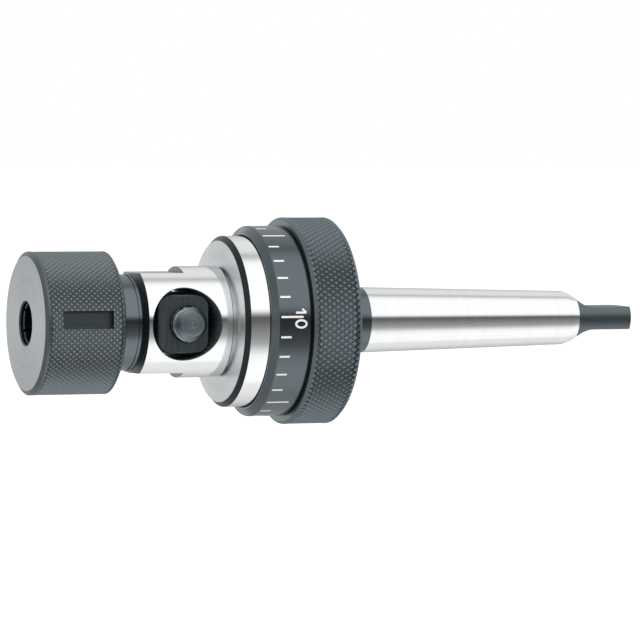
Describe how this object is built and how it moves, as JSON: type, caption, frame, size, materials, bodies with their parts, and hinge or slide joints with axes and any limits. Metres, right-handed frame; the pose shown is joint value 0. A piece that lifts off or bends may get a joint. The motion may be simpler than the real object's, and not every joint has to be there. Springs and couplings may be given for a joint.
{
  "type": "tap holder",
  "caption": "Tap holder with a tanged Morse taper shank, a graduated knurled torque ring over a slip clutch, jaws for the tap's square and a knurled collet cap.",
  "frame": {"origin": "centre of the Morse taper's gage plane, on the tool axis", "axes": "+X along the tool axis towards the tang, the tap points along -X; +Z normal to the wrench flats and to the flats of the tang; the jaws move along Y"},
  "size_m": [0.1761, 0.0566, 0.0566],
  "materials": {
    "polished_steel": "polished",
    "ground_steel": "ground",
    "satin_steel": "satin",
    "knurled_steel": "knurled",
    "blackened_steel": "black oxide",
    "jaw_steel": "hardened, ground",
    "spring_steel": "blued",
    "plate_steel": "ground",
    "bronze": "sintered",
    "felt": "felt"
  },
  "bodies": {
    "shank_unit": {"morse_shank": "ground_steel", "thrust_washer_rear": "plate_steel", "friction_plate_1": "bronze", "friction_plate_2": "bronze"},
    "driven_unit": {"front_body": "polished_steel", "clutch_flange": "polished_steel", "lock_dowels": "plate_steel", "pilot_bush": "bronze", "spindle_fork": "jaw_steel", "thrust_washer_front": "plate_steel", "driven_plate_1": "plate_steel", "driven_plate_2": "plate_steel", "pressure_plate": "plate_steel", "disc_spring_1": "spring_steel", "disc_spring_2": "spring_steel", "disc_spring_3": "spring_steel", "disc_spring_4": "spring_steel", "collet_holder": "blackened_steel"},
    "needle_set": {"needle_cage": "bronze", "thrust_needles": "plate_steel"},
    "adjuster_feed": {"spring_seat": "plate_steel"},
    "adjuster": {"adjusting_ring": "knurled_steel", "dial_ring": "satin_steel", "dust_seal": "felt"},
    "collet_carriage": {"tap_collet": "ground_steel"},
    "cap_unit": {"clamp_cap": "knurled_steel", "extractor_ring": "spring_steel"},
    "spindle": {"jaw_spindle": "jaw_steel"},
    "jaw_near_unit": {"jaw_near": "jaw_steel"},
    "jaw_far_unit": {"jaw_far": "jaw_steel"}
  },
  "joints": [
    {"name": "clutch_slip", "type": "hinge", "parent": "shank_unit", "child": "driven_unit", "pos_m": [0, 0, 0], "axis": [1, 0, 0], "continuous": true},
    {"name": "needle_cage_turn", "type": "hinge", "parent": "shank_unit", "child": "needle_set", "pos_m": [0, 0, 0], "axis": [1, 0, 0], "continuous": true},
    {"name": "torque_ring_feed", "type": "slide", "parent": "driven_unit", "child": "adjuster_feed", "axis": [1, 0, 0], "range_m": [0, 0.0015]},
    {"name": "torque_ring_turn", "type": "hinge", "parent": "adjuster_feed", "child": "adjuster", "pos_m": [0, 0, 0], "axis": [1, 0, 0], "range_deg": [0, 360]},
    {"name": "collet_draw", "type": "slide", "parent": "driven_unit", "child": "collet_carriage", "axis": [1, 0, 0], "range_m": [-0.0045, 0]},
    {"name": "clamp_cap_turn", "type": "hinge", "parent": "collet_carriage", "child": "cap_unit", "pos_m": [0, 0, 0], "axis": [1, 0, 0], "range_deg": [-1080, 0]},
    {"name": "jaw_spindle_turn", "type": "hinge", "parent": "driven_unit", "child": "spindle", "pos_m": [-0.05915, 0, 0], "axis": [0, 1, 0], "range_deg": [-240, 480]},
    {"name": "jaw_near_slide", "type": "slide", "parent": "driven_unit", "child": "jaw_near_unit", "axis": [0, -1, 0], "range_m": [-0.001, 0.002]},
    {"name": "jaw_far_slide", "type": "slide", "parent": "driven_unit", "child": "jaw_far_unit", "axis": [0, 1, 0], "range_m": [-0.001, 0.002]}
  ],
  "couplings": [
    {"joint": "needle_cage_turn", "follows": "clutch_slip", "ratio": 0.5},
    {"joint": "torque_ring_turn", "follows": "torque_ring_feed", "rad_per_m": 4188.8},
    {"joint": "clamp_cap_turn", "follows": "collet_draw", "rad_per_m": 4188.8},
    {"joint": "jaw_spindle_turn", "follows": "jaw_near_slide", "rad_per_m": 4188.8},
    {"joint": "jaw_far_slide", "follows": "jaw_near_slide", "ratio": 1}
  ]
}
